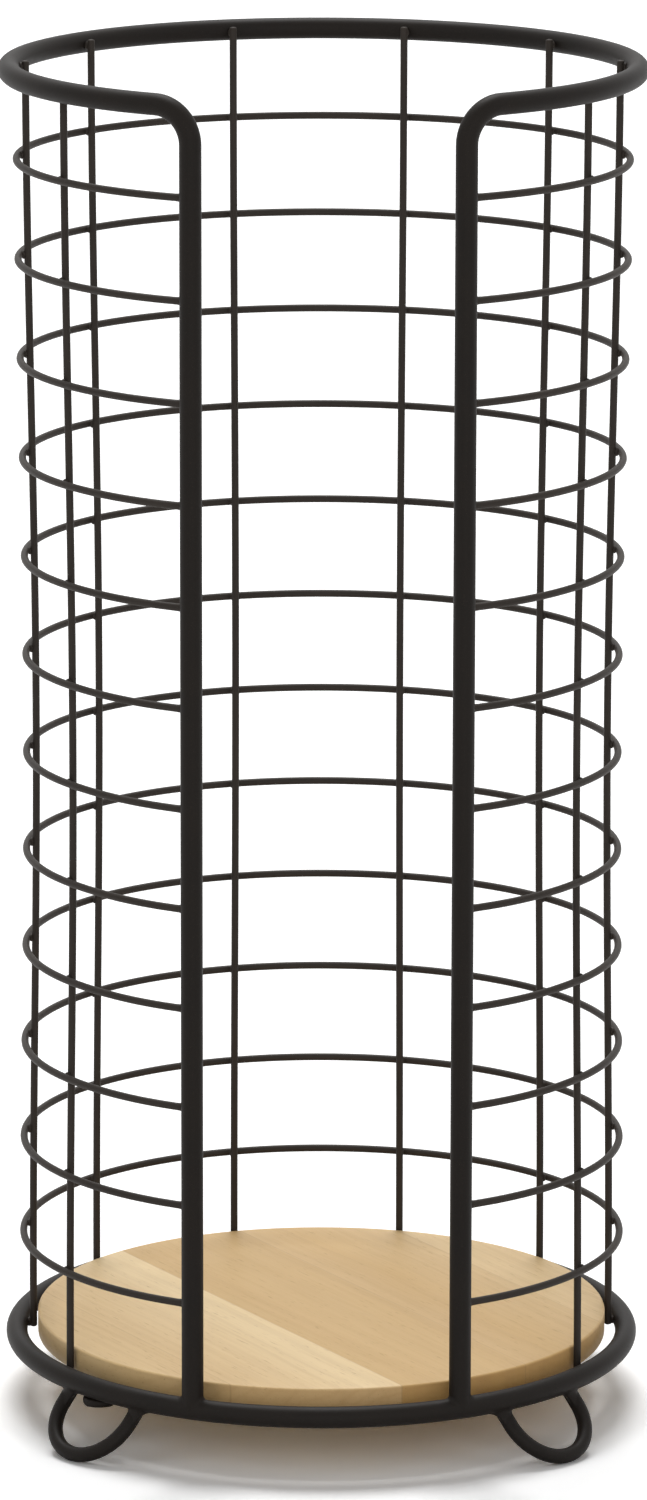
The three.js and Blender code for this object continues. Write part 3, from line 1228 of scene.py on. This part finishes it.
@dataclass
class ThinWires:
    """The hoops and rods of thin wire, with the small welds that hold them."""

    sizes: CageSizes
    wires: WireTree
    beads: BeadTree
    finish: PowderCoat
    hoop_count: int = 12
    hoop_steps: int = 162
    rod_steps: int = 40
    sides: int = 18
    end_inside_post: float = 1.2 * MM
    end_growth: float = 0.75
    end_length: float = 2.6 * MM
    end_steps: int = 10
    edge_round: float = 0.35 * MM
    edge_growth: float = -0.4
    edge_steps: int = 4
    crossing_bead: Bead = Bead(1.3 * MM, 2.0 * MM, 2.0 * MM, seed=5)
    rod_end_bead: Bead = Bead(1.4 * MM, 1.8 * MM, 2.0 * MM, seed=8)
    top_bead_drop: float = 0.4 * MM

    @property
    def flare(self) -> float:
        """The length over which a hoop's end widens into its weld."""
        return self.end_length + self.end_inside_post

    def hoop_path(self, height: float) -> list[Vector]:
        """Follows a hoop from inside one post to inside the other.

        Args:
            height: The hoop's height.

        Returns:
            The points of its middle line.
        """
        s = self.sizes
        start = s.post_azimuth + math.asin(self.end_inside_post / s.ring_radius)
        span = math.tau - 2 * start
        azimuths = [start + i / self.hoop_steps * span for i in range(self.hoop_steps + 1)]
        points = [on_cage(azimuth, s.hoop_radius_at(azimuth, height), height) for azimuth in azimuths]
        return with_close_ends(points, self.flare, self.end_steps)

    def rod_path(self, azimuth: float, low: float, high: float) -> list[Vector]:
        """Follows a rod upwards.

        Args:
            azimuth: The rod's azimuth.
            low: The height of its lower end.
            high: The height of its upper end.

        Returns:
            The points of its middle line.
        """
        s = self.sizes
        heights = [low + i / self.rod_steps * (high - low) for i in range(self.rod_steps + 1)]
        points = [on_cage(azimuth, s.rod_radius_at(height), height) for height in heights]
        return with_close_ends(points, self.edge_round, self.edge_steps)

    def weld(self, heights: Sequence[float]) -> None:
        """Sets a small bead between each rod and each hoop, and at each rod's ends on both rings.

        Args:
            heights: The heights of the hoops.
        """
        s = self.sizes
        rods = s.rod_azimuths
        crossings = [(rod, s.crossing_radius(rod, height), height) for height in heights for rod in rods]
        touch = s.rod_radius + s.thin_wire / 2 + s.fit / 2
        levels = (s.base_height, s.top_height - self.top_bead_drop)
        ends = [(rod, touch, level) for level in levels for rod in rods]
        self.beads.add("crossing_welds", point_mesh(crossings), self.crossing_bead.inputs, self.finish)
        self.beads.add("rod_end_welds", point_mesh(ends), self.rod_end_bead.inputs, self.finish)

    def build(self) -> None:
        """Makes the hoops, the rods and their welds."""
        s = self.sizes
        thin = {"Diameter": s.thin_wire, "Sides": self.sides}
        flared = {**thin, "End Growth": self.end_growth, "End Length": self.flare}
        cut = {**thin, "End Growth": self.edge_growth, "End Length": self.edge_round}
        heights = []
        for number in range(1, self.hoop_count + 1):
            node = f"hoop_wire_{number:02d}"
            heights.append(s.middle_height(node))
            path = path_mesh(self.hoop_path(heights[-1]))
            self.wires.add(f"hoop_{number:02d}", path, flared, self.finish, [node])
        for number, azimuth in enumerate(s.rod_azimuths, 1):
            node = f"vertical_rod_{number}"
            low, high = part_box(node)
            path = path_mesh(self.rod_path(azimuth, low.z, high.z))
            self.wires.add(f"rod_{number}", path, cut, self.finish, [node])
        self.weld(heights)


@dataclass
class Feet:
    """The four looped feet. Each leg's weld is wide at the side nearer the front or back middle."""

    sizes: CageSizes
    wires: WireTree
    finish: PowderCoat
    wire: float = 3.6 * MM
    half_width: float = 11.6 * MM
    leg: float = 5.4 * MM
    lean: float = 44 * DEGREE
    turn: float = -1.3 * DEGREE
    loop_steps: int = 48
    sides: int = 28
    weld_round: float = 3.4 * MM
    weld_least: float = 0.4 * MM
    weld_start: float = 62 * DEGREE
    weld_stop: float = 280 * DEGREE
    weld_steps: int = 48

    @property
    def azimuths(self) -> dict[Corner, float]:
        """The azimuth of each foot by its corner."""
        azimuths = zip(Corner, (-45, 45, 135, -135))
        return {corner: self.turn + azimuth * DEGREE for corner, azimuth in azimuths}

    def ways(self, azimuth: float) -> tuple[Vector, Vector, Vector]:
        """Gives a foot's own directions.

        Args:
            azimuth: The foot's azimuth.

        Returns:
            The directions along its legs, across them towards the underside, and from leg to leg.
        """
        out, side = ways_at(azimuth)
        up = Vector((0.0, 0.0, 1.0))
        along = out * math.sin(self.lean) - up * math.cos(self.lean)
        under = -out * math.cos(self.lean) - up * math.sin(self.lean)
        return along, under, side

    def path(self, azimuth: float) -> list[Vector]:
        """Follows a foot from the ring round its loop and back.

        Args:
            azimuth: The foot's azimuth.

        Returns:
            The points of its middle line.
        """
        s = self.sizes
        along, under, side = self.ways(azimuth)
        seat = math.sqrt(s.ring_radius**2 - self.half_width**2)
        root = on_cage(azimuth, seat, s.base_height) + under * (s.frame_wire / 2)
        points = [root - side * self.half_width]
        for i in range(self.loop_steps + 1):
            turn = i / self.loop_steps * math.pi
            down = self.leg + self.half_width * math.sin(turn)
            points.append(root - side * (self.half_width * math.cos(turn)) + along * down)
        points.append(root + side * self.half_width)
        return points

    def welds(self, work: bmesh.types.BMesh, azimuth: float, side: int) -> None:
        """Adds the welds of both legs of a foot."""
        for leg in (-1, 1):
            self.weld(work, azimuth, leg, side)

    def weld(self, work: bmesh.types.BMesh, azimuth: float, leg: int, side: int) -> None:
        """Fills the corner round a leg with a hollow round that is wide at one side.

        Args:
            work: The mesh that gets the faces.
            azimuth: The foot's azimuth.
            leg: Which leg, -1 or 1.
            side: The side of the leg with the wide round, -1 or 1.
        """
        s = self.sizes
        ring_wire = s.frame_wire / 2
        leg_wire = self.wire / 2
        along, under, _ = self.ways(azimuth)
        middle = azimuth + leg * math.asin(self.half_width / s.ring_radius)
        outlines = []
        for i in range(self.weld_steps + 1):
            turn = self.weld_start + i / self.weld_steps * (self.weld_stop - self.weld_start)
            size = self.weld_least + self.weld_round * ((1 + math.sin(turn)) / 2) ** 2
            down_in = ring_wire + (leg_wire + size) * math.cos(turn)
            down_along = math.sqrt(max((ring_wire + size) ** 2 - down_in**2, 0.0))
            ball = Vector((side * (leg_wire + size) * math.sin(turn), down_along, down_in))
            share = ring_wire / (ring_wire + size)
            on_ring = Vector((ball.x, ball.y * share, ball.z * share))
            share = leg_wire / (leg_wire + size)
            on_leg = Vector((ball.x * share, ball.y, ring_wire + (ball.z - ring_wire) * share))
            outline = []
            for p in (*hollow(ball, on_ring, on_leg), Vector((0.0, on_ring.y / 2, ring_wire / 2))):
                seat = on_cage(middle + p.x / s.ring_radius, s.ring_radius, s.base_height)
                outline.append(seat + along * p.y + under * p.z)
            outlines.append(outline)
        loft(work, outlines)

    def build(self) -> None:
        """Makes the feet and their welds."""
        sizes = {"Diameter": self.wire, "End Length": self.wire, "Sides": self.sides}
        for corner, azimuth in self.azimuths.items():
            path = path_mesh(self.path(azimuth))
            node = f"looped_foot_{corner.value}"
            self.wires.add(f"foot_{corner.value}", path, sizes, self.finish, [node])
            side = 1 if corner in (Corner.FRONT_LEFT, Corner.REAR_RIGHT) else -1
            fill = partial(self.welds, azimuth=azimuth, side=side)
            add_mesh_piece(f"foot_welds_{corner.value}", fill, self.finish)


@dataclass
class WoodFloor:
    """The wood disc with eased edges."""

    finish: GluedWood
    ease: float = 0.6 * MM
    ease_steps: int = 6
    support: float = 0.25 * MM
    steps: int = 240
    crease: float = 60 * DEGREE

    def build(self) -> None:
        """Makes the disc."""
        low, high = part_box("wood_base_disc")
        radius = (high.x - low.x) / 2
        inner = radius - self.ease
        profile = [(0.0, low.z), (radius / 2, low.z), (inner - self.support, low.z)]
        for middle, start in ((low.z + self.ease, -math.pi / 2), (high.z - self.ease, 0.0)):
            for i in range(self.ease_steps + 1):
                turn = start + i / self.ease_steps * math.pi / 2
                profile.append((inner + self.ease * math.cos(turn), middle + self.ease * math.sin(turn)))
        profile += [(inner - self.support, high.z), (radius / 2, high.z), (0.0, high.z)]
        fill = partial(lathe, profile=profile, steps=self.steps)
        add_mesh_piece("floor_disc", fill, self.finish, ["wood_base_disc"], self.crease)


@dataclass
class DiscFixings:
    """The stepped tabs under the ring and the screws that go up through them into the disc."""

    sizes: CageSizes
    fasteners: FastenerTree
    coating: PowderCoat
    plating: ZincPlate
    corners: tuple[Corner, ...] = (Corner.FRONT_LEFT, Corner.REAR_RIGHT)
    width: float = 8.7 * MM
    thickness: float = 1.8 * MM
    edge_round: float = 0.7 * MM
    edge_most: float = 0.9
    edge_steps: int = 3
    overhang: float = 1.3 * MM
    end_turn: float = 86 * DEGREE
    end_steps: int = 10
    end_bunching: float = 0.8
    step_run: float = 4 * MM
    step_spare: float = 1.2 * MM
    step_steps: int = 8
    inset: float = 17 * MM
    shank: float = 3 * MM
    tip: float = 1.2 * MM
    head: float = 6.4 * MM
    head_height: float = 2.2 * MM
    head_side: float = 0.25 * MM
    head_chamfer: float = 0.1 * MM
    head_fullness: float = 0.8
    head_steps: int = 13
    turn_steps: int = 48
    recess_length: float = 3.6 * MM
    recess_width: float = 0.9 * MM
    recess_depth: float = 1.2 * MM
    recess_taper: tuple[float, float] = (0.72, 0.8)
    spin_seed: int = 3

    @property
    def screw_radius(self) -> float:
        """The distance from the cage's axis to a screw."""
        return self.sizes.ring_radius - self.inset

    def strap_section(self, half: float, top: float) -> list[tuple[float, float]]:
        """The rounded outline of a strap across its length.

        Args:
            half: Half the width there.
            top: The height of its upper side there.

        Returns:
            Places across the strap and heights, anticlockwise.
        """
        edge = min(self.edge_round, half * self.edge_most)
        middle = top - self.thickness / 2
        outline = []
        for sign_across, sign_up, start in ((1, 1, 0.0), (-1, 1, 0.5), (-1, -1, 1.0), (1, -1, 1.5)):
            for i in range(self.edge_steps + 1):
                turn = (start + i / (2 * self.edge_steps)) * math.pi
                across = sign_across * (half - edge) + edge * math.cos(turn)
                up = sign_up * (self.thickness / 2 - edge) + edge * math.sin(turn)
                outline.append((across, middle + up))
        return outline

    def strap_widths(self, step_outer: float) -> list[tuple[float, float]]:
        """Lists the sections of a strap with round ends.

        Args:
            step_outer: The distance from the cage's axis to the outer end of the strap's step.

        Returns:
            The distance from the cage's axis and half the width of each section, outwards.
        """
        half = self.width / 2
        outer = self.sizes.ring_radius + self.overhang - half
        turns = [i / self.end_steps for i in range(self.end_steps + 1)]
        turns = [share**self.end_bunching * self.end_turn for share in turns]
        widths = [(self.screw_radius - half * math.sin(turn), half * math.cos(turn)) for turn in turns]
        widths += [(outer + half * math.sin(turn), half * math.cos(turn)) for turn in turns]
        step_inner = step_outer - self.step_run
        for i in range(-1, self.step_steps):
            along = i / self.step_steps * (self.step_run + self.step_spare)
            widths.append((step_inner + along, half))
        return sorted(widths)

    def strap(self, work: bmesh.types.BMesh, azimuth: float) -> None:
        """Adds a stepped strap with round ends.

        Args:
            work: The mesh that gets the faces.
            azimuth: Where the strap lies.
        """
        s = self.sizes
        low_top = s.base_height - s.frame_wire / 2 - s.fit
        high_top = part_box("wood_base_disc")[0].z - s.fit
        step_outer = s.ring_radius - s.frame_wire / 2 - s.fit
        out, side = ways_at(azimuth)
        up = Vector((0.0, 0.0, 1.0))
        outlines = []
        for far, half in self.strap_widths(step_outer):
            share = min(max((step_outer - far) / self.step_run, 0.0), 1.0)
            share = share * share * (3 - 2 * share)
            section = self.strap_section(half, low_top + (high_top - low_top) * share)
            outlines.append([out * far + side * across + up * height for across, height in section])
        loft(work, outlines)

    def screw(self, length: float) -> bpy.types.Object:
        """Makes one screw, point up, with its head's flat side at height 0.

        Args:
            length: How far the point is above that side.

        Returns:
            The screw.
        """
        half = self.head / 2
        profile = [(0.0, -self.head_height)]
        for i in range(1, self.head_steps):
            turn = i / self.head_steps * math.pi / 2
            height = -self.head_height * math.cos(turn) ** self.head_fullness
            profile.append((half * math.sin(turn), height))
        profile += [(half, -self.head_side), (half - self.head_chamfer, 0.0), (self.shank / 2, 0.0)]
        profile += [(self.shank / 2, length - self.tip), (0.0, length)]
        fill = partial(lathe, profile=profile, steps=self.turn_steps)
        screw = mesh_object("screw_pattern", fill, self.plating)
        arms = ((self.recess_length, self.recess_width), (self.recess_width, self.recess_length))
        for along, across in arms:
            fill = partial(self.recess, length=along, width=across)
            cutter = mesh_object("recess_cutter", fill, self.plating)
            cut = screw.modifiers.new("recess", "BOOLEAN")
            cut.operation = "DIFFERENCE"
            cut.object = cutter
            apply_modifiers(screw)
            bpy.data.objects.remove(cutter)
        shade_smooth(screw)
        return screw

    def recess(self, work: bmesh.types.BMesh, length: float, width: float) -> None:
        """Adds one arm of the cross recess, narrower at its floor.

        Args:
            work: The mesh that gets the faces.
            length: The arm's length along X.
            width: Its width along Y.
        """
        ends = ((-self.recess_depth, (1.0, 1.0)), (self.recess_depth, self.recess_taper))
        corners = ((-1, -1), (1, -1), (1, 1), (-1, 1))
        outlines = []
        for depth, (taper_x, taper_y) in ends:
            x = length / 2 * taper_x
            y = width / 2 * taper_y
            height = depth - self.head_height
            outlines.append([Vector((sign_x * x, sign_y * y, height)) for sign_x, sign_y in corners])
        loft(work, outlines)

    def build(self) -> None:
        """Makes the tabs and the screws."""
        nodes = [f"disc_screw_{corner.value}" for corner in self.corners]
        low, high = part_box(nodes[0])
        seat = low.z + self.head_height
        screw = self.screw(high.z - seat)
        spots = []
        for corner in self.corners:
            node = f"disc_tab_{corner.value}"
            low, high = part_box(node)
            middle = (low + high) / 2
            azimuth = math.atan2(middle.x, -middle.y)
            fill = partial(self.strap, azimuth=azimuth)
            add_mesh_piece(f"tab_{corner.value}", fill, self.coating, [node])
            spots.append((azimuth, self.screw_radius, seat))
        sizes = {"Fastener": screw, "Seed": self.spin_seed}
        self.fasteners.add("disc_screws", point_mesh(spots), sizes, self.plating, nodes)
        bpy.data.objects.remove(screw)


@dataclass
class PhotoCamera:
    """The camera at the photograph's place, looking down at the holder from the front."""

    base_height: float
    back: float = 1850 * MM
    above_base: float = 556.38 * MM
    side: float = -33.02 * MM
    pitch: float = 12.516 * DEGREE
    roll: float = 0.1027 * DEGREE
    yaw: float = -1.0315 * DEGREE
    lens: float = 187.45
    sight: float = 50.0

    def build(self) -> None:
        """Makes the camera the scene's own."""
        data = bpy.data.cameras.new("photo_camera")
        data.lens = self.lens
        data.clip_end = self.sight
        camera = linked_object("photo_camera", data)
        camera.location = (self.side, -self.back, self.base_height + self.above_base)
        aim = Euler((math.pi / 2 - self.pitch, 0.0, self.yaw)).to_matrix()
        camera.rotation_euler = (aim @ Matrix.Rotation(self.roll, 3, "Z")).to_euler()
        bpy.context.scene.camera = camera


@dataclass(frozen=True)
class WideLamp:
    """A distant lamp that is wide enough for soft shadows and lights everything evenly."""

    name: str
    direction: tuple[float, float, float]
    width: float
    level: float

    def build(self) -> None:
        """Makes the lamp. Its level is what a white sheet that faces it reflects."""
        data = bpy.data.lights.new(self.name, "SUN")
        data.angle = self.width
        data.energy = self.level * math.pi
        lamp = linked_object(self.name, data)
        lamp.rotation_euler = (-Vector(self.direction)).to_track_quat("-Z", "Y").to_euler()


@dataclass
class Studio:
    """A white floor and plain soft light. Directions point from the holder to the lamps."""

    finish: StudioWhite
    floor_half: float = 9.0
    fill: float = 0.12
    front_fill: float = 0.26
    lamps: tuple[WideLamp, ...] = (
        WideLamp("overhead_lamp", (-0.03, 0.54, 1.0), 34 * DEGREE, 0.82),
        WideLamp("left_lamp", (-1.0, -0.75, 0.65), 40 * DEGREE, 0.12),
        WideLamp("right_lamp", (1.0, -0.45, 0.6), 40 * DEGREE, 0.10),
        WideLamp("front_lamp", (0.15, -1.0, 0.22), 40 * DEGREE, 0.15),
    )

    def room_light(self, graph: Graph) -> Value:
        """Gives the world's strength: white where it is looked at, and a soft fill where it lights.

        Args:
            graph: The world's tree.

        Returns:
            The strength, which is more from the front where it lights.
        """
        way = graph.value("ShaderNodeTexCoord", output="Generated")
        back = Value(graph, graph.node("ShaderNodeSeparateXYZ", {}, {0: way}).outputs[1])
        fill = self.fill + self.front_fill * (0 - back).kept_within_one()
        seen = graph.seen()
        return seen + (1 - seen) * fill

    def build(self) -> None:
        """Makes the floor, the lamps and the world."""
        h = self.floor_half
        corners = [(-h, -h, 0.0), (h, -h, 0.0), (h, h, 0.0), (-h, h, 0.0)]
        mesh = bpy.data.meshes.new("studio_floor")
        mesh.from_pydata(corners, [], [(0, 1, 2, 3)])
        mesh.materials.append(self.finish.material())
        linked_object("studio_floor", mesh)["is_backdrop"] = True
        for lamp in self.lamps:
            lamp.build()
        world = bpy.data.worlds.new("studio_world")
        world.use_nodes = True
        graph = Graph(world.node_tree)
        inputs = {"Color": (1.0, 1.0, 1.0, 1.0), "Strength": self.room_light(graph)}
        light = graph.value("ShaderNodeBackground", {}, inputs)
        graph.node("ShaderNodeOutputWorld", {}, {"Surface": light})
        bpy.context.scene.world = world
        bpy.context.scene.view_settings.view_transform = "Standard"


def main() -> None:
    logging.basicConfig(level=logging.INFO, format="%(name)s: %(message)s")
    solid_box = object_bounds()
    sizes = CageSizes.from_frame()
    coating = PowderCoat()
    plating = ZincPlate()
    wires = WireTree()
    PhotoCamera(sizes.base_height).build()
    ThickFrame(sizes, wires, coating).build()
    # The thin wires take the coat copy with painted light.
    ThinWires(sizes, wires, BeadTree(), PaintedLightThinCoat()).build()
    Feet(sizes, wires, coating).build()
    WoodFloor(GluedWood()).build()
    DiscFixings(sizes, FastenerTree(), coating, plating).build()
    Studio(StudioWhite()).build()
    boxes = {"cad": solid_box, "visual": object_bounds()}
    boxes = {name: [list(corner) for corner in box] for name, box in boxes.items()}


if __name__ == "__main__":
    main()
